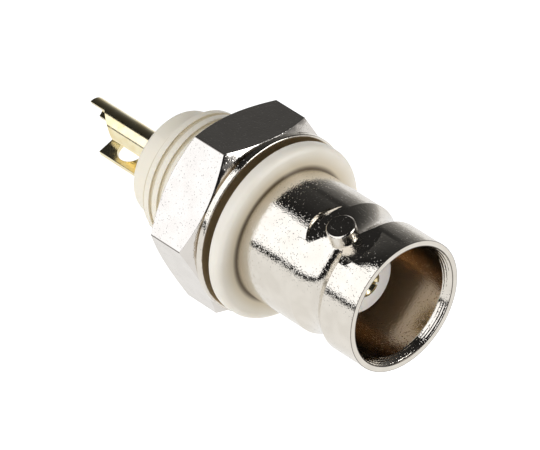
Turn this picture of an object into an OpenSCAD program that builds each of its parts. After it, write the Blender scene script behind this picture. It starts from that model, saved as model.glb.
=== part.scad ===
// Panel-mount BNC jack: insulated housing, solder-cup contact and a separate ground tab.
// +X points out of the mouth. The origin lies on the axis, in the plane of the flange's back face,
// which seats on the panel. +Z is up when the jack lies on one flat of its nut.

/* [Barrel] */
// Outside diameter of the barrel
barrel_d = 9.65; // [9.3:0.05:10.2]
// Length of the barrel in front of the flange
barrel_len = 11.2; // [10.6:0.1:14]
// Thickness of the barrel's wall round the bore
bore_wall = 0.76; // [0.65:0.01:0.9]
// Depth of the bore from the rim to its floor
bore_depth = 8.4; // [7.8:0.1:9]
// Width of the flat rim round the mouth
rim_w = 0.4; // [0.2:0.05:0.5]
// Length of the cone that leads from the rim into the bore
lead_in = 0.6; // [0.3:0.05:1.2]
// Distance from the rim to the middle of the waist groove
groove_at = 4.375; // [4:0.025:5]
// Width of the waist groove
groove_w = 2.85; // [2.4:0.05:3.2]
// Depth of the waist groove at its middle
groove_depth = 0.45; // [0.2:0.05:0.6]

/* [Bayonet studs] */
// Diameter of a bayonet stud
stud_d = 2.05; // [1.6:0.05:2.2]
// Height of a stud above the barrel's surface
stud_h = 0.675; // [0.5:0.025:0.9]
// Distance from the rim to the studs' common axis
stud_at = 4.25; // [4:0.05:4.8]
// Width of the broken edge round a stud's tip
stud_edge = 0.1; // [0.05:0.01:0.3]
// Diameter of the pocket milled round each stud
pocket_d = 5.2; // [4:0.1:6]
// Depth of the pocket's flat floor below the barrel's surface
pocket_sink = 0.33; // [0.2:0.01:0.5]
// Turn of the studs and the ground tab about the axis, from the vertical
stud_turn = 19.7; // [-90:0.1:90]

/* [Shell tail] */
// Diameter of the tail inside the housing
tail_d = 7.4; // [7:0.1:7.8]
// Length of the tail behind the flange's front face
tail_len = 7.8; // [7:0.1:8.4]
// Length of the lip behind the bore's floor that stops the front insulator
lip_len = 1; // [0.6:0.1:1.5]
// Height of the lip
lip_h = 0.3; // [0.15:0.05:0.4]

/* [Insulators] */
// Diameter of the insulator post that stands in the mouth
post_d = 4.72; // [4.5:0.01:4.8]
// Distance from the rim back to the post's face
post_setback = 3.7; // [3.2:0.1:5.5]
// Diameter of the insulators inside the shell
core_d = 6; // [5.6:0.1:6.2]
// Length of the front insulator's body behind the lip
core_len = 3.6; // [3:0.1:4.5]
// Width of the broken edge round the post's face
post_edge = 0.12; // [0.05:0.01:0.3]

/* [Centre contact] */
// Diameter of the contact along its length
contact_d = 2.04; // [1.9:0.01:2.2]
// Distance that the socket stands out of the insulator post
contact_proud = 0.2; // [0:0.05:0.4]
// Diameter of the socket's hole
socket_d = 1.4; // [1.3:0.01:1.5]
// Depth of the socket's hole
socket_depth = 5; // [4:0.1:6]
// Width of the slots between the socket's fingers
finger_slot_w = 0.2; // [0.12:0.01:0.25]
// Length of the slots between the socket's fingers
finger_slot_len = 3.6; // [3:0.1:5]
// Diameter of the collar that is trapped between the insulators
collar_d = 3.2; // [2.8:0.1:3.6]
// Thickness of the collar
collar_t = 0.6; // [0.4:0.1:1]
// Distance from the panel face to the solder cup's tip
contact_reach = 18.75; // [17:0.05:22]
// Diameter of the solder cup's hole
cup_d = 1.5; // [1.3:0.05:1.6]
// Depth of the solder cup
cup_depth = 4.6; // [3.6:0.1:5]
// Length of the cup's open side, from its tip to the foot of the ramp
cup_open_len = 1.45; // [1:0.05:2]
// Slope of the ramp where the open side runs out
cup_ramp_angle = 40; // [30:1:60]
// Height of the cup's cut face above the axis
cup_cut_h = 0.1; // [0:0.02:0.2]
// Turn of the cup's open side about the axis, from the vertical
cup_turn = -63; // [-180:1:180]

/* [Housing] */
// Diameter of the flange
flange_d = 12.86; // [12:0.02:13.4]
// Thickness of the flange
flange_t = 1; // [0.8:0.05:1.8]
// Radius of the flange's rounded front edge
flange_round = 0.45; // [0.2:0.05:0.6]
// Radius of the flange's rounded back edge
flange_back_round = 0.1; // [0.05:0.05:0.2]
// Diameter of the threaded shank
shank_d = 9.525; // [9.3:0.005:10]
// Length of the shank behind the flange
shank_len = 8.6; // [8.2:0.1:10]
// Diameter of the rear boss
boss_d = 7.88; // [7.4:0.02:8.4]
// Length of the rear boss
boss_len = 1.9; // [1.6:0.1:4]
// Radius of the rear boss's rounded edge
boss_round = 0.35; // [0.2:0.05:1.2]
// Width of the chamfer at the shank's end
shank_chamfer = 0.1; // [0.05:0.05:0.6]

/* [Ground tab] */
// Distance from the axis to the middle of the tab's thickness
tab_offset = 2.5; // [2.3:0.05:2.8]
// Width of the tab
tab_w = 2.75; // [2.4:0.05:3.2]
// Thickness of the tab and of its ring
tab_t = 0.4; // [0.3:0.05:0.5]
// Distance from the panel face to the tab's end
tab_reach = 17.75; // [16.5:0.05:19]
// Diameter of the wire hole
wire_hole_d = 2; // [1.2:0.05:2.1]
// Distance from the tab's end to the middle of the wire hole
wire_hole_at = 1.9; // [1.5:0.05:2.5]
// Diameter of the hole in the ring, clear of the contact
ring_hole_d = 3.4; // [3:0.1:3.8]
// Radius inside the bend between ring and tab
bend_r = 0.25; // [0.15:0.05:0.4]

/* [Washer and nut] */
// Width by which the washer stands out past the nut's flats
washer_over = 0.25; // [0.1:0.05:0.6]
// Thickness of the washer
washer_t = 0.42; // [0.3:0.02:0.8]
// Radius of the rolled edge on the washer's front
washer_round = 0.12; // [0.04:0.02:0.2]
// Distance across the nut's flats
nut_af = 12.7; // [12.4:0.1:14]
// Thickness of the nut
nut_t = 4.45; // [3:0.05:4.8]
// Diameter of the flat face that the nut shows to the washer
nut_front_d = 11.6; // [11:0.1:12.2]
// Diameter of the flat face at the nut's back
nut_back_d = 12.1; // [11:0.1:12.3]
// Slope of the nut's chamfers
nut_chamfer_angle = 30; // [20:1:35]
// Turn of the nut about the axis, from a flat lying level
nut_turn = -3.3; // [-30:0.1:30]
// Width of the countersinks in the nut's bore
nut_sink = 0.35; // [0.2:0.05:0.6]

/* [Clearances] */
// Gap all round between pieces that are pressed together
seat_gap = 0.02; // [0.01:0.01:0.04]
// Gap all round between the nut's bore and the shank
thread_gap = 0.05; // [0.03:0.01:0.08]
// Gap all round between the washer's bore and the shank
washer_gap = 0.1; // [0.05:0.01:0.2]
// Gap between the nut's face and the washer
nut_seat_gap = 0.04; // [0.02:0.01:0.1]
// Gap between the washer and the flange, where the panel goes
panel_gap = 0.56; // [0.3:0.02:1]
// Gap all round the contact and the tab where they leave the housing
exit_gap = 0.04; // [0.02:0.01:0.1]

/* [Hidden] */
$fn = 96;
over = 1;                                   // overrun of every cutting tool

// Places along the axis, from the mouth to the solder cup
x_mouth = flange_t + barrel_len;
x_groove = x_mouth - groove_at;
x_stud = x_mouth - stud_at;
x_post = x_mouth - post_setback;
x_socket = x_post + contact_proud;
x_floor = x_mouth - bore_depth;
x_lip = x_floor - lip_len;
x_core = x_lip - core_len;
x_tail = flange_t - tail_len;
x_web = x_tail - tab_t;
x_shank = -shank_len;
x_boss = x_shank - boss_len;

// Shapes that follow from the sizes above
bore_d = barrel_d - 2 * bore_wall;
pocket_floor = barrel_d / 2 - pocket_sink;
groove_r = (pow(groove_w / 2, 2) + pow(groove_depth, 2)) / (2 * groove_depth);
washer_bore_r = shank_d / 2 + washer_gap;
nut_bore_r = shank_d / 2 + thread_gap;
nut_corner_r = nut_af / 2 / cos(30);
x_washer = -panel_gap;
x_nut = x_washer - washer_t - nut_seat_gap;

// Turns a shape that was made along +Z so that it lies along +X
module along_x() {
    rotate([0, 90, 0]) children();
}

// A round bar or tool along the axis, from one place to another
module bar(r, from, to) {
    translate([from, 0, 0]) along_x() cylinder(r = r, h = to - from);
}

// A cone along the axis, from one radius and place to another
module cone(r_from, r_to, from, to) {
    translate([from, 0, 0]) along_x() cylinder(r1 = r_from, r2 = r_to, h = to - from);
}

// A solid of revolution about the axis, from its outline as [radius, place] points
module turned(outline) {
    along_x() rotate_extrude() polygon(outline);
}

// Rounds the outer edge of a disc: the ring between a square corner and its quarter circle
module edge_tool(r, place, round_r, side) {
    along_x() rotate_extrude() difference() {
        translate([r - round_r, place - (side > 0 ? round_r : over)])
            square([round_r + over, round_r + over]);
        translate([r - round_r, place - side * round_r]) circle(r = round_r);
    }
}

// One bayonet stud on +Z, with its broken edge
module stud() {
    tip = barrel_d / 2 + stud_h;
    translate([x_stud, 0, 0]) {
        cylinder(d = stud_d, h = tip - stud_edge);
        translate([0, 0, tip - stud_edge])
            cylinder(d1 = stud_d, d2 = stud_d - 2 * stud_edge, h = stud_edge);
    }
}

// The ring that the hollow mill cuts round the stud on +Z
module stud_pocket() {
    translate([x_stud, 0, pocket_floor]) cylinder(d = pocket_d, h = barrel_d / 2);
}

// Everything that comes off the outside of the barrel
module barrel_cuts() {
    along_x() rotate_extrude()
        translate([barrel_d / 2 - groove_depth + groove_r, x_groove]) circle(r = groove_r);
    for (side = [0, 180]) rotate([stud_turn + side, 0, 0]) stud_pocket();
}

// The bore of the mouth, with its lead-in, and the seat of the insulators
module shell_bore() {
    rim_r = barrel_d / 2 - rim_w;
    bar(bore_d / 2, x_floor, x_mouth + over);
    cone(bore_d / 2, rim_r, x_mouth - lead_in, x_mouth);
    bar(core_d / 2 - lip_h, x_lip - over, x_floor + over);
    bar(core_d / 2, x_tail - over, x_lip);
}

// Turned outer contact: barrel, bayonet studs and tail
module shell() {
    color([0.78, 0.76, 0.71]) difference() {
        union() {
            difference() {
                bar(barrel_d / 2, flange_t, x_mouth);
                barrel_cuts();
            }
            for (side = [0, 180]) rotate([stud_turn + side, 0, 0]) stud();
            bar(tail_d / 2, x_tail, flange_t + over);
        }
        shell_bore();
    }
}

// Insulating moulding: flange, shank and rear boss
module housing() {
    contact_exit_r = contact_d / 2 + exit_gap;
    color([0.9, 0.87, 0.8]) difference() {
        union() {
            bar(flange_d / 2, 0, flange_t);
            bar(shank_d / 2, x_shank, over / 2);
            bar(boss_d / 2, x_boss, x_shank + over);
        }
        edge_tool(flange_d / 2, flange_t, flange_round, 1);
        edge_tool(flange_d / 2, 0, flange_back_round, -1);
        edge_tool(boss_d / 2, x_boss, boss_round, -1);
        shank_end_cut();
        bar(tail_d / 2 + seat_gap, x_web, flange_t + over);
        bar(contact_exit_r, x_boss - over, x_web + over);
        rotate([stud_turn, 0, 0]) tab_slot();
    }
}

// The chamfer at the end of the shank
module shank_end_cut() {
    difference() {
        bar(shank_d / 2 + over, x_shank - over, x_shank + shank_chamfer);
        cone(shank_d / 2 - shank_chamfer, shank_d / 2, x_shank, x_shank + shank_chamfer);
        bar(boss_d / 2, x_shank - 2 * over, x_shank + over);
    }
}

// The slot through the boss that the ground tab leaves by, with room for its bend
module tab_slot() {
    slot_w = tab_w + 2 * exit_gap;
    slot_h = tab_t + 2 * exit_gap;
    low = -tab_offset - slot_h / 2;
    translate([x_boss - over, -slot_w / 2, low])
        cube([x_web - x_boss + over + exit_gap, slot_w, slot_h]);
    translate([x_web - bend_r - exit_gap, -slot_w / 2, low])
        cube([bend_r + 2 * exit_gap, slot_w, slot_h + bend_r]);
}

// Front insulator: a post in the mouth, a neck in the lip and a body behind it
module front_insulator() {
    contact_r = contact_d / 2 + seat_gap;
    color([0.93, 0.92, 0.9]) difference() {
        union() {
            bar(core_d / 2 - seat_gap, x_core, x_lip);
            bar(core_d / 2 - lip_h - seat_gap, x_lip - over, x_floor);
            bar(post_d / 2, x_lip, x_post - post_edge);
            cone(post_d / 2, post_d / 2 - post_edge, x_post - post_edge, x_post);
        }
        bar(contact_r, x_core - over, x_post + over);
        bar(collar_d / 2 + seat_gap, x_core - over, x_core + collar_t);
    }
}

// Rear insulator: a plain sleeve that holds the contact's collar in its seat
module rear_insulator() {
    color([0.93, 0.92, 0.9]) difference() {
        bar(core_d / 2 - seat_gap, x_tail, x_core);
        bar(contact_d / 2 + seat_gap, x_tail - over, x_core + over);
    }
}

// Centre contact: slotted socket, collar and half-open solder cup
module centre_contact() {
    tip = -contact_reach;
    lead = (contact_d - socket_d) / 4;
    color([0.85, 0.72, 0.42]) difference() {
        union() {
            bar(contact_d / 2, tip, x_socket);
            bar(collar_d / 2, x_core, x_core + collar_t);
        }
        bar(socket_d / 2, x_socket - socket_depth, x_socket + over);
        cone(socket_d / 2, socket_d / 2 + lead, x_socket - lead, x_socket);
        rotate([stud_turn, 0, 0]) finger_slots();
        bar(cup_d / 2, tip - over, tip + cup_depth);
        rotate([cup_turn, 0, 0]) cup_opening(tip);
    }
}

// The cut that opens one side of the solder cup, with a ramp at its inner end
module cup_opening(tip) {
    foot = tip + cup_open_len;
    depth = cup_cut_h + contact_d;
    run = depth / tan(cup_ramp_angle);
    translate([0, contact_d, 0]) rotate([90, 0, 0]) linear_extrude(2 * contact_d)
        polygon([[tip - over, cup_cut_h], [foot, cup_cut_h], [foot + run, cup_cut_h - depth],
                 [tip - over, cup_cut_h - depth]]);
}

// Two crossed slots that part the socket into four fingers
module finger_slots() {
    for (turn = [45, 135]) rotate([turn, 0, 0])
        translate([x_socket - finger_slot_len, -finger_slot_w / 2, -contact_d])
            cube([finger_slot_len + over, finger_slot_w, 2 * contact_d]);
}

// Stamped ground lug: a ring with one flat side, and the tongue that is bent back from it
module ground_tab() {
    low = -tab_offset - tab_t / 2;
    color([0.85, 0.72, 0.42]) rotate([stud_turn, 0, 0]) difference() {
        union() {
            intersection() {
                bar(tail_d / 2, x_web, x_tail);
                translate([x_web - over, -tail_d, low + tab_t + bend_r])
                    cube([tab_t + 2 * over, 2 * tail_d, 2 * tail_d]);
            }
            tab_bend();
            translate([-tab_reach, -tab_w / 2, low])
                cube([tab_reach + x_web - bend_r, tab_w, tab_t]);
        }
        bar(ring_hole_d / 2, x_web - over, x_tail + over);
        translate([wire_hole_at - tab_reach, 0, low - over])
            cylinder(d = wire_hole_d, h = tab_t + 2 * over);
    }
}

// The quarter bend between the ring and the tongue
module tab_bend() {
    centre_x = x_web - bend_r;
    centre_z = tab_t / 2 + bend_r - tab_offset;
    outer_r = bend_r + tab_t;
    translate([centre_x, tab_w / 2, centre_z]) rotate([90, 0, 0])
        linear_extrude(tab_w) intersection() {
            difference() {
                circle(r = outer_r);
                circle(r = bend_r);
            }
            translate([0, -outer_r]) square(outer_r);
        }
}

// Flat washer on the shank, its front edge rolled by the die
module washer() {
    r = nut_af / 2 + washer_over;
    color([0.8, 0.78, 0.73]) difference() {
        bar(r, x_washer - washer_t, x_washer);
        edge_tool(r, x_washer, washer_round, 1);
        bar(washer_bore_r, x_washer - washer_t - over, x_washer + over);
    }
}

// Hexagon nut, chamfered on both sides, with a countersunk bore
module hex_nut() {
    front_drop = (nut_corner_r - nut_front_d / 2) * tan(nut_chamfer_angle);
    back_drop = (nut_corner_r - nut_back_d / 2) * tan(nut_chamfer_angle);
    color([0.8, 0.78, 0.73]) translate([x_nut, 0, 0]) intersection() {
        rotate([nut_turn, 0, 0]) translate([-nut_t, 0, 0])
            along_x() rotate(30) cylinder(r = nut_corner_r, h = nut_t, $fn = 6);
        turned([
            [nut_bore_r + nut_sink, 0], [nut_front_d / 2, 0], [nut_corner_r, -front_drop],
            [nut_corner_r, back_drop - nut_t], [nut_back_d / 2, -nut_t],
            [nut_bore_r + nut_sink, -nut_t], [nut_bore_r, nut_sink - nut_t],
            [nut_bore_r, -nut_sink]]);
    }
}

shell();
housing();
front_insulator();
rear_insulator();
centre_contact();
ground_tab();
washer();
hex_nut();
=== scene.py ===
"""Dressed scene of a panel-mount BNC jack: nickel shell, cream housing, gold contact and tab.

The frame gives the shapes and the bodies. This script adds the finishes, the fine details, a pale
floor, soft studio light and the camera. All lengths are in metres, on the frame's own axes: +X out
of the mouth and +Z up.
"""

import logging
import math
from collections.abc import Callable
from dataclasses import dataclass, field
from enum import Enum

import bpy
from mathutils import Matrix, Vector


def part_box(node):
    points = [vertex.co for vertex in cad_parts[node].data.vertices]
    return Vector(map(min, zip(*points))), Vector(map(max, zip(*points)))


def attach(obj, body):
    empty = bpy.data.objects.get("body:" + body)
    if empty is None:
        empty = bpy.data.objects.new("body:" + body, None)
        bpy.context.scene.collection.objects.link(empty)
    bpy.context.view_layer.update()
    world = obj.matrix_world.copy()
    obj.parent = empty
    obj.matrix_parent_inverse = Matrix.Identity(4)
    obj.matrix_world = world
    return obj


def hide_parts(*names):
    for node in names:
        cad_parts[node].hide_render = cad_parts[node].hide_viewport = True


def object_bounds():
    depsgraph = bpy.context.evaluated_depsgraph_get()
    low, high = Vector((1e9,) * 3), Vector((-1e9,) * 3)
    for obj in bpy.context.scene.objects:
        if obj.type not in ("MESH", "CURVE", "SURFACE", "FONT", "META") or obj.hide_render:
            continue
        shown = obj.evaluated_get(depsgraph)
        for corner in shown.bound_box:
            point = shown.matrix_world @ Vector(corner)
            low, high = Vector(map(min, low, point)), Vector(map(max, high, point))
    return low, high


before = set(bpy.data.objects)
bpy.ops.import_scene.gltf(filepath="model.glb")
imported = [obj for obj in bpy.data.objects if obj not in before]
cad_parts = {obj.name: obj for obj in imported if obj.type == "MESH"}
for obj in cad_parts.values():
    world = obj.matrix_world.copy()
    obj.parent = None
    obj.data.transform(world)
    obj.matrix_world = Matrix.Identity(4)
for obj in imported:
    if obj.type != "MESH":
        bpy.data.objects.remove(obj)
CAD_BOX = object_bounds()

LOG = logging.getLogger("bnc_jack")
MM = 0.001

Colour = tuple[float, float, float]
Point = tuple[float, float, float]
Socket = bpy.types.NodeSocket

# Shared limits of the mesh work
MERGE = 0.001 * MM
FLAT = math.radians(0.4)
ROUND_STEPS = 2
TURNED_SMOOTH = 32.0
THREADED_SMOOTH = 35.0

# How the slow swell turns into tone, and how far light soaks into the plastics
TONE_RANGE = (0.3, 0.7)
SOAK_COLOURS = (1.0, 0.8, 0.55)
SOAK_REACH = 0.4 * MM


class Slot(Enum):
    """The record's material slots."""

    NICKEL = "nickel"
    CREAM = "cream_plastic"
    PTFE = "ptfe"
    GOLD = "gold"


class NodeSheet:
    """A node tree with short ways to add and join its nodes."""

    def __init__(self, tree: bpy.types.NodeTree) -> None:
        """Takes over an empty or cleared tree.

        Args:
            tree: The node tree to fill.
        """
        self.tree = tree
        tree.nodes.clear()
        self.column = 0

    def add(self, kind: str, settings: dict | None = None, values: dict | None = None) -> bpy.types.Node:
        """Adds a node.

        Args:
            kind: The node's type name.
            settings: Values of the node's own properties, by name.
            values: Values of its input sockets, by name or number.

        Returns:
            The new node.
        """
        node = self.tree.nodes.new(kind)
        node.location = (self.column, 0)
        self.column += 180
        for key, value in (settings or {}).items():
            setattr(node, key, value)
        for key, value in (values or {}).items():
            node.inputs[key].default_value = value
        return node

    def join(self, source: Socket, target: Socket) -> None:
        """Links an output socket to an input socket."""
        self.tree.links.new(source, target)

    def maths(
        self, operation: str, first: float | Socket, second: float | Socket = 0.0, clamp: bool = False
    ) -> Socket:
        """Adds a Math node on numbers or sockets.

        Args:
            operation: The Math node's operation.
            first: A number or an output socket.
            second: A number or an output socket.
            clamp: Whether the result is kept from 0 to 1.

        Returns:
            The node's output socket.
        """
        node = self.add("ShaderNodeMath", {"operation": operation, "use_clamp": clamp})
        for socket, value in zip(node.inputs, (first, second)):
            if isinstance(value, Socket):
                self.join(value, socket)
            else:
                socket.default_value = value
        return node.outputs[0]

    def span(self, value: Socket, low: float, high: float, to_low: float, to_high: float) -> Socket:
        """Maps a value smoothly from one range to another.

        Args:
            value: The socket that is mapped.
            low: Where the incoming range starts.
            high: Where the incoming range ends.
            to_low: The result at the start.
            to_high: The result at the end.

        Returns:
            The mapped value's socket.
        """
        node = self.add(
            "ShaderNodeMapRange",
            {"interpolation_type": "SMOOTHSTEP"},
            {"From Min": low, "From Max": high, "To Min": to_low, "To Max": to_high},
        )
        self.join(value, node.inputs["Value"])
        return node.outputs["Result"]

    def mix(self, mask: Socket, first: Socket | Colour, second: Socket | Colour) -> Socket:
        """Mixes two colours.

        Args:
            mask: 0 gives the first colour and 1 the second.
            first: The first colour.
            second: The second colour.

        Returns:
            The mixed colour's socket.
        """
        node = self.add("ShaderNodeMix", {"data_type": "RGBA"})
        self.join(mask, node.inputs["Factor"])
        colours = [s for s in node.inputs if s.type == "RGBA"]
        for socket, value in zip(colours, (first, second)):
            if isinstance(value, Socket):
                self.join(value, socket)
            else:
                socket.default_value = (*value, 1.0)
        return next(s for s in node.outputs if s.type == "RGBA")


def new_group(name: str, inputs: dict[str, float], outputs: list[str]) -> bpy.types.NodeTree:
    """Makes a shader node group with a Vector input and float sockets.

    Args:
        name: The group's name.
        inputs: Names and default values of its float inputs.
        outputs: Names of its float outputs.

    Returns:
        The group, with nothing in it yet.
    """
    group = bpy.data.node_groups.new(name, "ShaderNodeTree")
    group.interface.new_socket("Vector", in_out="INPUT", socket_type="NodeSocketVector")
    for label, value in inputs.items():
        socket = group.interface.new_socket(label, in_out="INPUT", socket_type="NodeSocketFloat")
        socket.default_value = value
    for label in outputs:
        group.interface.new_socket(label, in_out="OUTPUT", socket_type="NodeSocketFloat")
    return group


def grain_group() -> bpy.types.NodeTree:
    """Builds what tumbling or moulding leaves: scattered dimples, a fine grain and a slow swell.

    Returns:
        The group. Its outputs are Height, Swell and Dimple.
    """
    name = "surface_grain"
    if name in bpy.data.node_groups:
        return bpy.data.node_groups[name]
    scales = {"Dimple Scale": 8000.0, "Grain Scale": 9000.0, "Swell Scale": 900.0}
    shares = {"Grain Share": 0.3, "Swell Share": 0.3}
    group = new_group(name, scales | shares, ["Height", "Swell", "Dimple"])
    sheet = NodeSheet(group)
    inlet = sheet.add("NodeGroupInput")
    outlet = sheet.add("NodeGroupOutput")
    cells = sheet.add("ShaderNodeTexVoronoi", values={"Randomness": 1.0})
    fine = sheet.add("ShaderNodeTexNoise", values={"Detail": 1.0, "Roughness": 0.6})
    swell = sheet.add("ShaderNodeTexNoise", values={"Detail": 1.0, "Roughness": 0.5})
    for texture, scale in ((cells, "Dimple Scale"), (fine, "Grain Scale"), (swell, "Swell Scale")):
        sheet.join(inlet.outputs["Vector"], texture.inputs["Vector"])
        sheet.join(inlet.outputs[scale], texture.inputs["Scale"])
    chance = sheet.add("ShaderNodeSeparateColor")
    sheet.join(cells.outputs["Color"], chance.inputs["Color"])
    weakest, reach = 0.2, 0.5
    struck = sheet.span(chance.outputs["Red"], weakest, 1.0, 0.0, 1.0)
    hollow = sheet.span(cells.outputs["Distance"], 0.0, reach, 1.0, 0.0)
    dimple = sheet.maths("MULTIPLY", struck, hollow)
    body = sheet.maths("MULTIPLY", fine.outputs["Fac"], inlet.outputs["Grain Share"])
    slow = sheet.maths("MULTIPLY", swell.outputs["Fac"], inlet.outputs["Swell Share"])
    relief = sheet.maths("SUBTRACT", sheet.maths("ADD", body, slow), dimple)
    sheet.join(relief, outlet.inputs["Height"])
    sheet.join(swell.outputs["Fac"], outlet.inputs["Swell"])
    sheet.join(dimple, outlet.inputs["Dimple"])
    return group


@dataclass(frozen=True)
class Finish:
    """One surface finish, built on the shared grain.

    Attributes:
        name: The material's name.
        slot: The record's slot that it dresses. It is not used.
        low: Colour in the hollows of the slow swell.
        high: Colour on its crests.
        metallic: 1 for a plated metal and 0 for a plastic.
        smooth: Roughness between the dimples.
        rough: Roughness in the dimples.
        grain: Grains a metre.
        grain_depth: Depth of the grain, in metres.
        swell: Swells a metre.
        swell_share: Height of the swell against the grain.
        glow: Share of light that passes below the surface.
        grain_share: Height of the grain between the dimples against the dimples.
        dimples: Dimple cells a metre.
    """

    name: str
    slot: Slot
    low: Colour
    high: Colour
    metallic: float
    smooth: float
    rough: float
    grain: float
    grain_depth: float
    swell: float
    swell_share: float
    glow: float = 0.0
    grain_share: float = 0.3
    dimples: float = 6500.0

    def material(self) -> bpy.types.Material:
        """Builds the material, or finds it if it is there.

        Returns:
            The material.
        """
        if self.name in bpy.data.materials:
            return bpy.data.materials[self.name]
        made = bpy.data.materials.new(self.name)
        made.use_nodes = True
        sheet = NodeSheet(made.node_tree)
        place = sheet.add("ShaderNodeTexCoord")
        grain = sheet.add("ShaderNodeGroup", {"node_tree": grain_group()})
        grain.inputs["Dimple Scale"].default_value = self.dimples
        grain.inputs["Grain Scale"].default_value = self.grain
        grain.inputs["Grain Share"].default_value = self.grain_share
        grain.inputs["Swell Scale"].default_value = self.swell
        grain.inputs["Swell Share"].default_value = self.swell_share
        sheet.join(place.outputs["Object"], grain.inputs["Vector"])
        shader = sheet.add("ShaderNodeBsdfPrincipled", values={"Metallic": self.metallic})
        tone = sheet.span(grain.outputs["Swell"], *TONE_RANGE, 0.0, 1.0)
        colour = sheet.mix(tone, self.low, self.high)
        gloss = sheet.span(grain.outputs["Dimple"], 0.0, 1.0, self.smooth, self.rough)
        colour, gloss = self.local(sheet, place.outputs["Object"], colour, gloss)
        sheet.join(colour, shader.inputs["Base Color"])
        sheet.join(gloss, shader.inputs["Roughness"])
        bump = sheet.add("ShaderNodeBump", values={"Strength": 1.0, "Distance": self.grain_depth})
        height = self.relief(sheet, place.outputs["Object"], grain.outputs["Height"])
        sheet.join(height, bump.inputs["Height"])
        sheet.join(bump.outputs["Normal"], shader.inputs["Normal"])
        if self.glow:
            shader.inputs["Subsurface Weight"].default_value = self.glow
            shader.inputs["Subsurface Radius"].default_value = SOAK_COLOURS
            shader.inputs["Subsurface Scale"].default_value = SOAK_REACH
        end = sheet.add("ShaderNodeOutputMaterial")
        sheet.join(shader.outputs["BSDF"], end.inputs["Surface"])
        return made

    def local(
        self, sheet: NodeSheet, place: Socket, colour: Socket, gloss: Socket
    ) -> tuple[Socket, Socket]:
        """Changes the colour and roughness in some places. A plain finish stays as it is.

        Args:
            sheet: The material's nodes.
            place: The place on the piece.
            colour: The finish's colour.
            gloss: The finish's roughness.

        Returns:
            The colour and the roughness.
        """
        return colour, gloss

    def relief(self, sheet: NodeSheet, place: Socket, height: Socket) -> Socket:
        """Changes the fine relief in some places. A plain finish stays as it is.

        Args:
            sheet: The material's nodes.
            place: The place on the piece.
            height: The height of the finish's grain.

        Returns:
            The height.
        """
        return height

    def dress(self, piece: bpy.types.Object) -> None:
        """Puts the finish on every material slot of a piece.

        Args:
            piece: A CAD node or a new piece.
        """
        if not piece.material_slots:
            piece.data.materials.append(self.material())
        for place in piece.material_slots:
            place.material = self.material()
        LOG.info("%s wears %s", piece.name, self.name)


def radius_from_axis(sheet: NodeSheet, place: Socket) -> tuple[Socket, Socket]:
    """Works out where a point lies about the X axis.

    Args:
        sheet: The material's nodes.
        place: The place on the piece.

    Returns:
        The distance from the axis, and the place along it.
    """
    split = sheet.add("ShaderNodeSeparateXYZ")
    sheet.join(place, split.inputs[0])
    across = sheet.maths("POWER", split.outputs["Y"], 2.0)
    square = sheet.maths("ADD", across, sheet.maths("POWER", split.outputs["Z"], 2.0))
    return sheet.maths("SQRT", square), split.outputs["X"]


@dataclass(frozen=True)
class CreamMoulding(Finish):
    """Cream moulding with painted shade in the thread's valleys and round the barrel's root, and painted
    light behind the flange.

    Attributes:
        crest: Radius of the thread's crests.
        root: Radius of its valleys.
        painted_valley_shade: Colour of the painted shade in the valleys.
        seat: Radius of the barrel's root.
        seat_reach: Radius at which the painted shade there ends.
        shade: Colour of the painted shade at the barrel's root.
        warm_shade_reach: Radius at which the wider painted warm shade round the root ends.
        painted_warm_shade: Colour of that painted warm shade.
        front_start: Place in the flange where those two painted shades start.
        front_end: Place where they are full.
        painted_tail_light: Colour of the painted light behind the flange, lighter and warmer than the
            cream.
        painted_tail_share: Share of that painted light in the mix.
        shank_end: Place of the shank's end.
        blur: Half the width over which a colour changes along the axis.
    """

    crest: float = 4.75 * MM
    root: float = 4.64 * MM
    painted_valley_shade: Colour = (0.72, 0.64, 0.47)
    seat: float = 4.82 * MM
    seat_reach: float = 5.2 * MM
    shade: Colour = (0.13, 0.09, 0.05)
    warm_shade_reach: float = 6.2 * MM
    painted_warm_shade: Colour = (0.68, 0.58, 0.41)
    front_start: float = 0.5 * MM
    front_end: float = 0.9 * MM
    painted_tail_light: Colour = (0.95, 0.88, 0.73)
    painted_tail_share: float = 0.8
    shank_end: float = -8.6 * MM
    blur: float = 0.05 * MM

    def local(
        self, sheet: NodeSheet, place: Socket, colour: Socket, gloss: Socket
    ) -> tuple[Socket, Socket]:
        """Paints shade into the valleys and round the barrel, and paints light behind the flange.

        Args:
            sheet: The material's nodes.
            place: The place on the piece.
            colour: The finish's colour.
            gloss: The finish's roughness.

        Returns:
            The colour and the roughness.
        """
        radius, along = radius_from_axis(sheet, place)
        # Painted shade in the thread's valleys, deepest at the root.
        deep = sheet.span(radius, self.root, self.crest, 1.0, 0.0)
        threaded = sheet.span(along, self.shank_end - self.blur, self.shank_end + self.blur, 0.0, 1.0)
        behind = sheet.span(along, -2 * self.blur, 0.0, 1.0, 0.0)
        painted_valley_shade = sheet.maths("MULTIPLY", deep, sheet.maths("MULTIPLY", threaded, behind))
        # Painted shade in the corner at the barrel's root.
        near = sheet.span(radius, self.seat, self.seat_reach, 1.0, 0.0)
        front = sheet.span(along, self.front_start, self.front_end, 0.0, 1.0)
        # Painted light behind the flange.
        colour = sheet.mix(sheet.maths("MULTIPLY", behind, self.painted_tail_share), colour, self.painted_tail_light)
        colour = sheet.mix(painted_valley_shade, colour, self.painted_valley_shade)
        # Wider, milder painted warm shade round the root.
        wide = sheet.span(radius, self.seat, self.warm_shade_reach, 1.0, 0.0)
        colour = sheet.mix(sheet.maths("MULTIPLY", wide, front), colour, self.painted_warm_shade)
        return sheet.mix(sheet.maths("MULTIPLY", near, front), colour, self.shade), gloss


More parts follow.
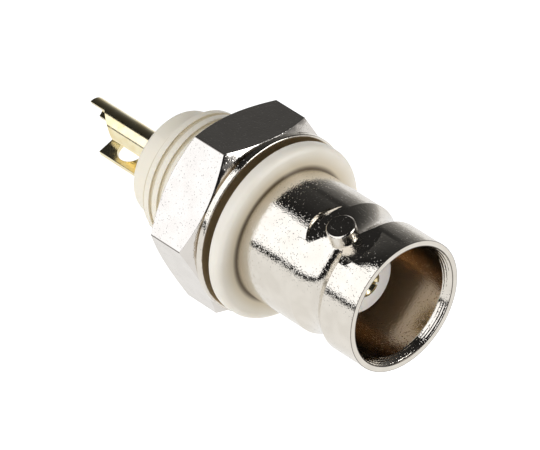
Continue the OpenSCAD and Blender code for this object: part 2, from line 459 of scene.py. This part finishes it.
@dataclass(frozen=True)
class WasherNickel(Finish):
    """Nickel that is bright on the washer's rim, with painted brown shade on its faces.

    Attributes:
        rim: Radius where the bright rim starts.
        blur: Width over which the colour changes there.
        painted_brown_shade: Colour of the painted shade on the faces, a painted reflection of the shaded
            flange.
    """

    rim: float = 6.46 * MM
    blur: float = 0.04 * MM
    painted_brown_shade: Colour = (0.40, 0.32, 0.21)

    def local(
        self, sheet: NodeSheet, place: Socket, colour: Socket, gloss: Socket
    ) -> tuple[Socket, Socket]:
        """Blends the painted brown shade in on the faces inside the rim.

        Args:
            sheet: The material's nodes.
            place: The place on the piece.
            colour: The finish's colour.
            gloss: The finish's roughness.

        Returns:
            The colour and the roughness.
        """
        radius, _ = radius_from_axis(sheet, place)
        # Painted shade on the faces inside the rim.
        face = sheet.span(radius, self.rim - self.blur, self.rim, 1.0, 0.0)
        return sheet.mix(face, colour, self.painted_brown_shade), gloss


@dataclass(frozen=True)
class ShellNickel(Finish):
    """Tumbled nickel with painted brown shade and a duller roughness inside the bore, and painted dark
    lines on the rim's edges.

    Attributes:
        bore_radius: Radius within which the bore's shade is painted.
        bore_start: Place where the painted shade starts.
        bore_end: Place where it ends, at the lead-in.
        painted_brown_shade: Colour of the painted shade in the bore.
        dull: Roughness in the bore.
        blur: Half the width over which it starts and ends.
        mouth: Place of the rim's face.
        lip_outer: Radius of the rim's outer edge.
        lip_inner: Radius of its inner edge.
        painted_edge_shade: Colour of the painted dark line on both edges, a painted reflection on the
            rounded edges.
        line_core: Distance from an edge within which the line is full.
        line_reach: Distance from an edge at which it ends.
        ring_pitch: Distance between the turning marks on the lead-in.
        ring_share: Height of those marks, as a share of the grain's depth.
    """

    bore_radius: float = 4.2 * MM
    bore_start: float = 3.6 * MM
    bore_end: float = 11.55 * MM
    painted_brown_shade: Colour = (0.56, 0.455, 0.335)
    dull: float = 0.18
    blur: float = 0.05 * MM
    mouth: float = 12.2 * MM
    lip_outer: float = 4.825 * MM
    lip_inner: float = 4.425 * MM
    painted_edge_shade: Colour = (0.16, 0.14, 0.12)
    line_core: float = 0.02 * MM
    line_reach: float = 0.05 * MM
    ring_pitch: float = 0.15 * MM
    ring_share: float = 0.3

    def local(
        self, sheet: NodeSheet, place: Socket, colour: Socket, gloss: Socket
    ) -> tuple[Socket, Socket]:
        """Blends in the painted brown shade inside the bore, and the painted dark lines on the rim's two
        edges.

        Args:
            sheet: The material's nodes.
            place: The place on the piece.
            colour: The finish's colour.
            gloss: The finish's roughness.

        Returns:
            The colour and the roughness.
        """
        radius, along = radius_from_axis(sheet, place)
        # Painted brown shade inside the bore.
        within = sheet.span(radius, self.bore_radius - self.blur, self.bore_radius + self.blur, 1.0, 0.0)
        front = sheet.span(along, self.bore_end - self.blur, self.bore_end + self.blur, 1.0, 0.0)
        back = sheet.span(along, self.bore_start - self.blur, self.bore_start + self.blur, 0.0, 1.0)
        mask = sheet.maths("MULTIPLY", within, sheet.maths("MULTIPLY", front, back))
        duller = sheet.maths("MULTIPLY", mask, self.dull - self.smooth)
        colour = sheet.mix(mask, colour, self.painted_brown_shade)
        # Painted dark lines on the rim's two edges.
        ahead = sheet.span(along, self.mouth - self.line_reach, self.mouth - self.line_core, 0.0, 1.0)
        for edge_radius in (self.lip_outer, self.lip_inner):
            away = sheet.maths("ABSOLUTE", sheet.maths("SUBTRACT", radius, edge_radius))
            beside = sheet.span(away, self.line_core, self.line_reach, 1.0, 0.0)
            colour = sheet.mix(sheet.maths("MULTIPLY", beside, ahead), colour, self.painted_edge_shade)
        return colour, sheet.maths("ADD", gloss, duller)

    def relief(self, sheet: NodeSheet, place: Socket, height: Socket) -> Socket:
        """Adds the turning marks on the lead-in.

        Args:
            sheet: The material's nodes.
            place: The place on the piece.
            height: The height of the finish's grain.

        Returns:
            The height.
        """
        radius, along = radius_from_axis(sheet, place)
        wave = sheet.maths("SINE", sheet.maths("MULTIPLY", along, 2 * math.pi / self.ring_pitch))
        front = sheet.span(along, self.bore_end, self.bore_end + self.blur, 0.0, 1.0)
        within = sheet.span(radius, self.lip_inner - self.line_core, self.lip_inner, 1.0, 0.0)
        marks = sheet.maths("MULTIPLY", sheet.maths("MULTIPLY", front, within), self.ring_share)
        return sheet.maths("ADD", height, sheet.maths("MULTIPLY", wave, marks))


@dataclass(frozen=True)
class NutNickel(Finish):
    """Milled nickel with a painted dark line on the hexagon's corners, a painted reflection.

    Attributes:
        corner: Radius of the corners.
        line_core: Depth below the corners down to which the line is full.
        line_reach: Depth at which it ends.
        painted_edge_shade: Colour of the painted dark line.
    """

    corner: float = 7.332 * MM
    line_core: float = 0.02 * MM
    line_reach: float = 0.04 * MM
    painted_edge_shade: Colour = (0.2, 0.18, 0.16)

    def local(
        self, sheet: NodeSheet, place: Socket, colour: Socket, gloss: Socket
    ) -> tuple[Socket, Socket]:
        """Blends the painted dark line in on the corners.

        Args:
            sheet: The material's nodes.
            place: The place on the piece.
            colour: The finish's colour.
            gloss: The finish's roughness.

        Returns:
            The colour and the roughness.
        """
        radius, _ = radius_from_axis(sheet, place)
        # Painted dark line along the corners.
        near = sheet.span(radius, self.corner - self.line_reach, self.corner - self.line_core, 0.0, 1.0)
        return sheet.mix(near, colour, self.painted_edge_shade), gloss


TUMBLED: dict[str, Slot | Colour | float] = {
    "slot": Slot.NICKEL,
    "low": (0.74, 0.695, 0.62),
    "high": (0.79, 0.745, 0.67),
    "metallic": 1.0,
    "smooth": 0.09,
    "rough": 0.12,
    "grain": 9000.0,
    "grain_depth": 1e-5,
    "grain_share": 0.6,
    "dimples": 8000.0,
    "swell": 900.0,
    "swell_share": 0.3,
}
SHELL_NICKEL = ShellNickel(name="shell_nickel", **TUMBLED)
WASHER_NICKEL = WasherNickel(name="washer_nickel", **TUMBLED)
NUT_NICKEL = NutNickel(
    name="milled_nickel",
    slot=Slot.NICKEL,
    low=(0.72, 0.685, 0.64),
    high=(0.76, 0.725, 0.68),
    metallic=1.0,
    smooth=0.12,
    rough=0.2,
    grain=9000.0,
    grain_depth=6e-6,
    swell=900.0,
    swell_share=0.3,
    grain_share=0.4,
    dimples=8000.0,
)
CREAM = CreamMoulding(
    name="cream_moulding",
    slot=Slot.CREAM,
    low=(0.875, 0.82, 0.71),
    high=(0.915, 0.865, 0.765),
    metallic=0.0,
    smooth=0.3,
    rough=0.42,
    grain=4000.0,
    grain_depth=1.5e-6,
    swell=500.0,
    swell_share=1.5,
    glow=0.12,
)
PTFE = Finish(
    name="turned_ptfe",
    slot=Slot.PTFE,
    low=(0.91, 0.87, 0.83),
    high=(0.95, 0.92, 0.88),
    metallic=0.0,
    smooth=0.45,
    rough=0.55,
    grain=5000.0,
    grain_depth=2e-6,
    swell=900.0,
    swell_share=1.0,
    glow=0.3,
)
GOLD = Finish(
    name="gold_plate",
    slot=Slot.GOLD,
    low=(0.90, 0.76, 0.44),
    high=(0.97, 0.89, 0.62),
    metallic=1.0,
    smooth=0.14,
    rough=0.26,
    grain=9000.0,
    grain_depth=3e-6,
    swell=900.0,
    swell_share=0.6,
)


class Side(Enum):
    """The side of a wall that a thread is cut into, as the way the groove goes from the wall."""

    INWARD = -1
    OUTWARD = 1


def take_up(piece: bpy.types.Object) -> None:
    """Makes a piece the only selected one, and the active one.

    Args:
        piece: The piece.
    """
    bpy.ops.object.select_all(action="DESELECT")
    piece.select_set(True)
    bpy.context.view_layer.objects.active = piece


def merged_copy(node: str, name: str) -> bpy.types.Object:
    """Copies a CAD node into a new piece, with its corners merged and its flat faces joined.

    Args:
        node: The CAD node.
        name: The new piece's name.

    Returns:
        The new piece, which is closed and outward-facing as the node is.
    """
    piece = bpy.data.objects.new(name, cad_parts[node].data.copy())
    bpy.context.scene.collection.objects.link(piece)
    take_up(piece)
    bpy.ops.mesh.customdata_custom_splitnormals_clear()
    bpy.ops.object.mode_set(mode="EDIT")
    bpy.ops.mesh.select_all(action="SELECT")
    bpy.ops.mesh.remove_doubles(threshold=MERGE)
    bpy.ops.mesh.dissolve_limited(angle_limit=FLAT, use_dissolve_boundaries=False)
    bpy.ops.object.mode_set(mode="OBJECT")
    return piece


def select_edges(piece: bpy.types.Object, sharper: float, wanted: Callable[[Vector], bool]) -> int:
    """Selects a piece's sharp edges by place, and leaves it in edit mode.

    Args:
        piece: The piece.
        sharper: The least angle between an edge's faces, in degrees.
        wanted: Tells from the middle of an edge whether it is taken.

    Returns:
        The number of edges taken.
    """
    take_up(piece)
    mesh = piece.data
    faces: dict[tuple[int, int], list[Vector]] = {}
    for face in mesh.polygons:
        face.select = False
        for key in face.edge_keys:
            faces.setdefault(key, []).append(face.normal.copy())
    for vertex in mesh.vertices:
        vertex.select = False
    taken = 0
    for edge in mesh.edges:
        ends = [mesh.vertices[i].co for i in edge.vertices]
        normals = faces.get(edge.key, [])
        sharp = len(normals) == 2 and normals[0].angle(normals[1], 0.0) > math.radians(sharper)
        edge.select = sharp and wanted((ends[0] + ends[1]) / 2)
        taken += edge.select
    bpy.context.tool_settings.mesh_select_mode = (False, True, False)
    bpy.ops.object.mode_set(mode="EDIT")
    return taken


def break_edges(
    piece: bpy.types.Object, width: float, sharper: float, wanted: Callable[[Vector], bool]
) -> None:
    """Rounds a piece's sharp edges a little, as tumbling or moulding does.

    Args:
        piece: The piece.
        width: Width of the round.
        sharper: The least angle between an edge's faces, in degrees.
        wanted: Tells from the middle of an edge whether it is rounded.
    """
    taken = select_edges(piece, sharper, wanted)
    bpy.ops.mesh.bevel(offset=width, segments=ROUND_STEPS, affect="EDGES", clamp_overlap=True)
    bpy.ops.object.mode_set(mode="OBJECT")
    LOG.info("%s: %d edges rounded", piece.name, taken)


def smooth(piece: bpy.types.Object, angle: float) -> None:
    """Shades a piece smooth up to an angle, with its large faces kept flat.

    Args:
        piece: The piece.
        angle: The greatest angle between faces that is shaded smooth, in degrees.
    """
    take_up(piece)
    bpy.ops.object.shade_smooth_by_angle(angle=math.radians(angle))
    bpy.ops.object.modifier_add(type="WEIGHTED_NORMAL")
    weigh = piece.modifiers[-1]
    weigh.keep_sharp = True
    bpy.ops.object.modifier_apply(modifier=weigh.name)


@dataclass
class FineThread:
    """A fine right-hand thread, 32 turns an inch, cut as a groove that winds about the axis.

    Attributes:
        pitch: Distance between turns.
        depth: Depth of the groove.
        crest: Width of the flat crest between turns.
        over: Overrun of the cutter above the wall.
        flank: Slope of the groove's flanks, in degrees.
        steps: Steps in a turn.
    """

    pitch: float = 25.4 * MM / 32
    depth: float = 0.42 * MM
    crest: float = 0.12 * MM
    over: float = 0.03 * MM
    flank: float = 30.0
    steps: int = 60

    def cutter(self, wall: float, start: float, turns: int, side: Side) -> bpy.types.Object:
        """Models the winding cutter.

        Args:
            wall: Radius of the wall that is cut.
            start: Place along the axis of its first turn. It winds towards -X.
            turns: Number of turns.
            side: The way the groove goes from the wall.

        Returns:
            The cutter, closed.
        """
        slope = math.tan(math.radians(self.flank))
        half = (self.pitch - self.crest) / 2
        outer, root = wall - side.value * self.over, wall + side.value * self.depth
        wide, narrow = half + self.over * slope, half - self.depth * slope
        bpy.ops.object.select_all(action="DESELECT")
        bpy.ops.mesh.primitive_plane_add(
            size=1, location=(start, 0, (outer + root) / 2), rotation=(math.pi / 2, 0, 0)
        )
        cutter = bpy.context.active_object
        cutter.scale = (2 * wide, abs(outer - root), 1)
        bpy.ops.object.transform_apply(location=True, rotation=True, scale=True)
        for vertex in cutter.data.vertices:
            vertex.select = abs(vertex.co.z - root) < abs(vertex.co.z - outer)
        bpy.context.tool_settings.mesh_select_mode = (True, False, False)
        bpy.ops.object.mode_set(mode="EDIT")
        bpy.ops.transform.resize(value=(narrow / wide, 1, 1), center_override=(start, 0, root))
        bpy.ops.mesh.select_all(action="SELECT")
        bpy.ops.mesh.delete(type="ONLY_FACE")
        bpy.ops.object.mode_set(mode="OBJECT")
        bpy.ops.object.modifier_add(type="SCREW")
        wind = cutter.modifiers[-1]
        wind.axis, wind.angle, wind.screw_offset = "X", -2 * math.pi, -self.pitch
        wind.iterations, wind.steps, wind.render_steps = turns, self.steps, self.steps
        wind.use_merge_vertices = False
        bpy.ops.object.modifier_apply(modifier=wind.name)
        bpy.ops.object.mode_set(mode="EDIT")
        bpy.ops.mesh.select_all(action="SELECT")
        bpy.ops.mesh.remove_doubles(threshold=MERGE / 2)
        bpy.ops.mesh.fill_holes(sides=4)
        bpy.ops.mesh.select_all(action="SELECT")
        bpy.ops.mesh.normals_make_consistent(inside=False)
        bpy.ops.object.mode_set(mode="OBJECT")
        return cutter

    def cut(self, piece: bpy.types.Object, wall: float, start: float, turns: int, side: Side) -> None:
        """Cuts the thread into a piece.

        Args:
            piece: The piece.
            wall: Radius of the wall that is cut.
            start: Place along the axis of the first turn.
            turns: Number of turns.
            side: The way the groove goes from the wall.
        """
        cutter = self.cutter(wall, start, turns, side)
        take_up(piece)
        bpy.ops.object.modifier_add(type="BOOLEAN")
        cut = piece.modifiers[-1]
        cut.operation, cut.solver, cut.object = "DIFFERENCE", "EXACT", cutter
        bpy.ops.object.modifier_apply(modifier=cut.name)
        bpy.data.objects.remove(cutter)
        LOG.info("%s: thread of %d turns cut, %d faces", piece.name, turns, len(piece.data.polygons))


def stand_in(piece: bpy.types.Object, node: str, body: str, finish: Finish) -> bpy.types.Object:
    """Dresses a new piece and puts it in a CAD node's place.

    Args:
        piece: The finished piece.
        node: The CAD node that it replaces.
        body: The body that it rides on.
        finish: The piece's finish.

    Returns:
        The piece.
    """
    finish.dress(piece)
    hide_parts(node)
    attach(piece, body)
    return piece


@dataclass
class Shell:
    """The turned outer contact, with its machined edges tumbled round.

    Attributes:
        edge_width: Width of the round on its edges.
        sharper: The least angle between the faces of an edge that is rounded, in degrees.
        finish: The shell's finish.
    """

    edge_width: float = 0.05 * MM
    sharper: float = 24.0
    finish: Finish = SHELL_NICKEL

    def build(self) -> list[bpy.types.Object]:
        """Rounds the edges of a copy of the shell in front of the flange, and dresses it.

        Returns:
            The dressed shell.
        """
        piece = merged_copy("shell", "tumbled_shell")
        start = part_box("housing")[1].x + 2 * self.edge_width
        break_edges(piece, self.edge_width, self.sharper, lambda p: p.x > start)
        smooth(piece, TURNED_SMOOTH)
        return [stand_in(piece, "shell", "jack", self.finish)]


@dataclass
class Insulators:
    """The two turned insulators that hold the centre contact.

    Attributes:
        finish: Their finish.
    """

    finish: Finish = PTFE

    def build(self) -> list[bpy.types.Object]:
        """Dresses both insulators.

        Returns:
            The dressed insulators.
        """
        pieces = [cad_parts["front_insulator"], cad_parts["rear_insulator"]]
        for piece in pieces:
            self.finish.dress(piece)
        return pieces


@dataclass
class CentreContact:
    """The centre contact: a slotted socket in front and a solder cup behind.

    Attributes:
        edge_width: Width of the round on its edges.
        sharper: The least angle between the faces of an edge that is rounded, in degrees.
        cup_front: Place in front of which the edges stay sharp.
        finish: The contact's finish.
    """

    edge_width: float = 0.03 * MM
    sharper: float = 40.0
    cup_front: float = -10.6 * MM
    finish: Finish = GOLD

    def build(self) -> list[bpy.types.Object]:
        """Rounds the edges of the solder cup and dresses the contact.

        Returns:
            The dressed contact.
        """
        piece = merged_copy("centre_contact", "plated_contact")
        break_edges(piece, self.edge_width, self.sharper, lambda p: p.x < self.cup_front)
        smooth(piece, TURNED_SMOOTH)
        return [stand_in(piece, "centre_contact", "jack", self.finish)]


@dataclass
class GroundTab:
    """The flat earth tab, with its stamped edges rounded.

    Attributes:
        edge_width: Width of the round on its edges.
        sharper: The least angle between the faces of an edge that is rounded, in degrees.
        finish: The tab's finish.
    """

    edge_width: float = 0.04 * MM
    sharper: float = 40.0
    finish: Finish = GOLD

    def build(self) -> list[bpy.types.Object]:
        """Rounds the edges of a copy of the tab and dresses it.

        Returns:
            The dressed tab.
        """
        piece = merged_copy("ground_tab", "stamped_tab")
        break_edges(piece, self.edge_width, self.sharper, lambda p: True)
        smooth(piece, TURNED_SMOOTH)
        return [stand_in(piece, "ground_tab", "jack", self.finish)]


@dataclass
class LooseWasher:
    """The loose washer between flange and nut.

    Attributes:
        finish: The washer's finish.
    """

    finish: Finish = WASHER_NICKEL

    def build(self) -> list[bpy.types.Object]:
        """Dresses the washer.

        Returns:
            The dressed washer.
        """
        self.finish.dress(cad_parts["washer"])
        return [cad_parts["washer"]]


@dataclass
class Housing:
    """The cream moulding: flange, threaded shank and rear boss.

    Attributes:
        shank_radius: Radius over the thread's crests.
        thread_start: Place of the first turn, behind the flange.
        thread: The thread on the shank.
        finish: The moulding's finish.
    """

    shank_radius: float = 4.7625 * MM
    thread_start: float = -0.75 * MM
    thread: FineThread = field(default_factory=lambda: FineThread(depth=0.16 * MM, crest=0.26 * MM))
    finish: Finish = CREAM

    def build(self) -> list[bpy.types.Object]:
        """Cuts the thread on a copy of the moulding and dresses it.

        Returns:
            The dressed moulding.
        """
        piece = merged_copy("housing", "housing_moulding")
        turns = math.ceil((self.thread_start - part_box("housing")[0].x) / self.thread.pitch) - 1
        self.thread.cut(piece, self.shank_radius, self.thread_start, turns, Side.INWARD)
        smooth(piece, THREADED_SMOOTH)
        return [stand_in(piece, "housing", "jack", self.finish)]


@dataclass
class HexNut:
    """The hexagon nut, with its edges broken and its bore threaded.

    Attributes:
        bore_radius: Radius of the nut's bore.
        outside: Radius beyond which the edges are rounded.
        edge_width: Width of the round on its edges.
        sharper: The least angle between the faces of an edge that is rounded, in degrees.
        thread: The thread in the bore.
        finish: The nut's finish.
    """

    bore_radius: float = 4.8125 * MM
    outside: float = 5.4 * MM
    edge_width: float = 0.06 * MM
    sharper: float = 15.0
    thread: FineThread = field(default_factory=FineThread)
    finish: Finish = NUT_NICKEL

    def build(self) -> list[bpy.types.Object]:
        """Rounds the edges of a copy of the nut, threads its bore and dresses it.

        Returns:
            The dressed nut.
        """
        piece = merged_copy("hex_nut", "threaded_nut")
        break_edges(piece, self.edge_width, self.sharper, lambda p: math.hypot(p.y, p.z) > self.outside)
        low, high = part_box("hex_nut")
        turns = math.ceil((high.x - low.x) / self.thread.pitch) + 1
        self.thread.cut(piece, self.bore_radius, high.x + self.thread.pitch / 2, turns, Side.OUTWARD)
        smooth(piece, THREADED_SMOOTH)
        return [stand_in(piece, "hex_nut", "nut", self.finish)]


@dataclass(frozen=True)
class Panel:
    """A soft light panel that faces the object.

    Attributes:
        name: The light's name.
        direction: The way from the object to the panel.
        distance: Metres to the panel.
        size: The panel's width and height, in metres.
        radiance: Brightness of its face.
        mirrored: Whether polished pieces mirror it.
        colour: Colour of its light.
    """

    name: str
    direction: Point
    distance: float
    size: tuple[float, float]
    radiance: float
    mirrored: bool = True
    colour: Colour = (1.0, 1.0, 1.0)

    def lamp(self) -> bpy.types.Object:
        """Makes the panel's light, at the origin.

        Returns:
            The light.
        """
        data = bpy.data.lights.new(self.name, "AREA")
        data.shape = "RECTANGLE"
        data.color = self.colour
        data.size, data.size_y = self.size
        data.energy = self.radiance * self.size[0] * self.size[1] * math.pi
        lamp = bpy.data.objects.new(self.name, data)
        lamp.visible_camera = False
        lamp.visible_glossy = self.mirrored
        bpy.context.scene.collection.objects.link(lamp)
        return lamp

    def hang(self) -> None:
        """Hangs the panel at its distance, so that it faces the origin."""
        lamp = self.lamp()
        way = Vector(self.direction).normalized()
        lamp.location = way * self.distance
        lamp.rotation_mode = "QUATERNION"
        lamp.rotation_quaternion = way.to_track_quat("Z", "Y")


@dataclass
class Studio:
    """Floor, lights, backdrop and camera.

    Attributes:
        floor_level: Height of the floor, in metres.
        floor_radius: Radius of the floor.
        floor_corners: Corners of its rim.
        floor_tone: Share of light that it gives back.
        floor_roughness: Its roughness.
        floor_glow: Brightness that it has of itself.
        floor_to_camera: That brightness as the camera sees it.
        key_distance: Distance of the key softbox from the axis.
        key_low: Angle of the softbox's lower edge above the horizon, in degrees.
        key_high: Angle of its upper edge.
        key_length: Its length along the axis, against its distance.
        key_shift: How far its middle stands behind the origin, against its distance.
        key_radiance: Brightness of its face.
        key_colour: Colour of its light.
        panels: The other lights: the fill over the mouth, and a hood that only lights the plastics.
        room_dark: Colour of the dark studio.
        room_pale: Colour of its pale side.
        room_fall: How fast the pale side darkens upwards.
        room_side: Where the pale side starts and is full, across the view.
        backdrop_strength: Brightness of the white backdrop that the camera sees.
        camera_azimuth: Camera's angle round the object, in degrees.
        camera_elevation: Camera's angle above the horizon, in degrees.
        camera_distance: Distance from the camera to the mouth's centre.
        camera_shift: Millimetres from the mouth's centre to the view's middle, to the right and up.
        camera_lens: Focal length, in millimetres.
        camera_sensor: Width of the sensor, in millimetres.
        camera_clip: Nearest and farthest distance seen.
        mouth: The mouth's centre.
    """

    floor_level: float
    floor_radius: float = 0.26
    floor_corners: int = 96
    floor_tone: float = 0.18
    floor_roughness: float = 0.9
    floor_glow: float = 0.82
    floor_to_camera: float = 1.1
    key_distance: float = 0.16
    key_low: float = 7.0
    key_high: float = 74.5
    key_length: float = 1.85
    key_shift: float = 0.225
    key_radiance: float = 1.4
    key_colour: Colour = (0.985, 1.0, 1.04)
    panels: tuple[Panel, ...] = (
        Panel("front_fill", (0.8, 0.45, 0.4), 0.2, (0.12, 0.12), 3.8),
        Panel("hood", (0.3, -0.3, 0.9), 0.22, (0.3, 0.3), 0.35, mirrored=False),
    )
    room_dark: Colour = (0.012, 0.012, 0.012)
    room_pale: Colour = (0.55, 0.54, 0.53)
    room_fall: float = 4.3
    room_side: tuple[float, float] = (-0.2, 0.3)
    backdrop_strength: float = 1.2
    camera_azimuth: float = 47.6
    camera_elevation: float = 35.3
    camera_distance: float = 0.5
    camera_shift: tuple[float, float] = (-8.858, 5.38)
    camera_lens: float = 505.0
    camera_sensor: float = 36.0
    camera_clip: tuple[float, float] = (0.01, 5.0)
    mouth: Point = (12.2 * MM, 0.0, 0.0)

    def floor(self) -> bpy.types.Object:
        """Models the flat pale floor.

        Returns:
            The floor.
        """
        bpy.ops.object.select_all(action="DESELECT")
        bpy.ops.mesh.primitive_circle_add(
            vertices=self.floor_corners,
            radius=self.floor_radius,
            fill_type="NGON",
            location=(0, 0, self.floor_level),
        )
        floor = bpy.context.active_object
        floor.name = "floor"
        bpy.ops.object.transform_apply(location=True, rotation=True, scale=True)
        floor.data.materials.append(self.floor_material())
        return floor

    def floor_material(self) -> bpy.types.Material:
        """Builds the floor's material, which the camera sees as white.

        Returns:
            The material.
        """
        made = bpy.data.materials.new("pale_floor")
        made.use_nodes = True
        sheet = NodeSheet(made.node_tree)
        values = {
            "Base Color": (self.floor_tone, self.floor_tone, self.floor_tone, 1.0),
            "Roughness": self.floor_roughness,
            "Emission Color": (1.0, 1.0, 1.0, 1.0),
            "Specular IOR Level": 0.0,
        }
        shader = sheet.add("ShaderNodeBsdfPrincipled", values=values)
        path = sheet.add("ShaderNodeLightPath")
        glow = sheet.span(path.outputs["Is Camera Ray"], 0.0, 1.0, self.floor_glow, self.floor_to_camera)
        sheet.join(glow, shader.inputs["Emission Strength"])
        end = sheet.add("ShaderNodeOutputMaterial")
        sheet.join(shader.outputs["BSDF"], end.inputs["Surface"])
        return made

    def key(self) -> None:
        """Hangs the key softbox on the near side, with its length along the axis."""
        low, high = math.radians(self.key_low), math.radians(self.key_high)
        middle, half = (low + high) / 2, (high - low) / 2
        reach = self.key_distance
        size = (self.key_length * reach, 2 * reach * math.tan(half))
        way = (0.0, -math.cos(middle), math.sin(middle))
        lamp = Panel("key_softbox", way, reach, size, self.key_radiance, colour=self.key_colour).lamp()
        lamp.location = (-self.key_shift * reach, reach * way[1], reach * way[2])
        lamp.rotation_euler = (math.pi / 2 - middle, 0.0, 0.0)

    def backdrop(self) -> None:
        """Makes the surroundings: a white backdrop for the camera, and a dark studio with a pale side."""
        world = bpy.data.worlds.new("studio")
        bpy.context.scene.world = world
        world.use_nodes = True
        sheet = NodeSheet(world.node_tree)
        place = sheet.add("ShaderNodeTexCoord")
        split = sheet.add("ShaderNodeSeparateXYZ")
        sheet.join(place.outputs["Generated"], split.inputs[0])
        fall = sheet.maths("EXPONENT", sheet.maths("MULTIPLY", split.outputs["Z"], -self.room_fall))
        side = sheet.span(split.outputs["Y"], *self.room_side, 0.0, 1.0)
        mask = sheet.maths("MULTIPLY", fall, side, clamp=True)
        room = sheet.add("ShaderNodeBackground")
        sheet.join(sheet.mix(mask, self.room_dark, self.room_pale), room.inputs["Color"])
        values = {"Color": (1.0, 1.0, 1.0, 1.0), "Strength": self.backdrop_strength}
        white = sheet.add("ShaderNodeBackground", values=values)
        path = sheet.add("ShaderNodeLightPath")
        choice = sheet.add("ShaderNodeMixShader")
        sheet.join(path.outputs["Is Camera Ray"], choice.inputs[0])
        sheet.join(room.outputs[0], choice.inputs[1])
        sheet.join(white.outputs[0], choice.inputs[2])
        end = sheet.add("ShaderNodeOutputWorld")
        sheet.join(choice.outputs[0], end.inputs["Surface"])

    def camera(self) -> None:
        """Sets the camera, which looks down at the mouth from the near side."""
        azimuth, elevation = math.radians(self.camera_azimuth), math.radians(self.camera_elevation)
        level = math.cos(elevation)
        back = Vector((math.sin(azimuth) * level, -math.cos(azimuth) * level, math.sin(elevation)))
        right = Vector((math.cos(azimuth), math.sin(azimuth), 0.0))
        up = back.cross(right)
        data = bpy.data.cameras.new("camera")
        data.lens, data.sensor_width = self.camera_lens, self.camera_sensor
        data.clip_start, data.clip_end = self.camera_clip
        camera = bpy.data.objects.new("camera", data)
        bpy.context.scene.collection.objects.link(camera)
        across, upward = self.camera_shift
        middle = Vector(self.mouth) + right * across * MM + up * upward * MM
        camera.location = middle + back * self.camera_distance
        camera.rotation_mode = "QUATERNION"
        camera.rotation_quaternion = back.to_track_quat("Z", "Y")
        bpy.context.scene.camera = camera

    def build(self) -> None:
        """Builds the whole studio."""
        self.floor()
        self.key()
        for panel in self.panels:
            panel.hang()
        self.backdrop()
        self.camera()
        bpy.context.scene.view_settings.view_transform = "Standard"
        LOG.info("studio is set, with %d lights", 1 + len(self.panels))


def main() -> None:
    """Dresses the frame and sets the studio."""
    logging.basicConfig(level=logging.INFO, format="%(name)s: %(message)s")
    parts = (Shell(), Insulators(), CentreContact(), GroundTab(), Housing(), LooseWasher(), HexNut())
    for part in parts:
        for piece in part.build():
            LOG.info("%s: %d faces", piece.name, len(piece.data.polygons))
    Studio(floor_level=CAD_BOX[0].z).build()


if __name__ == "__main__":
    main()
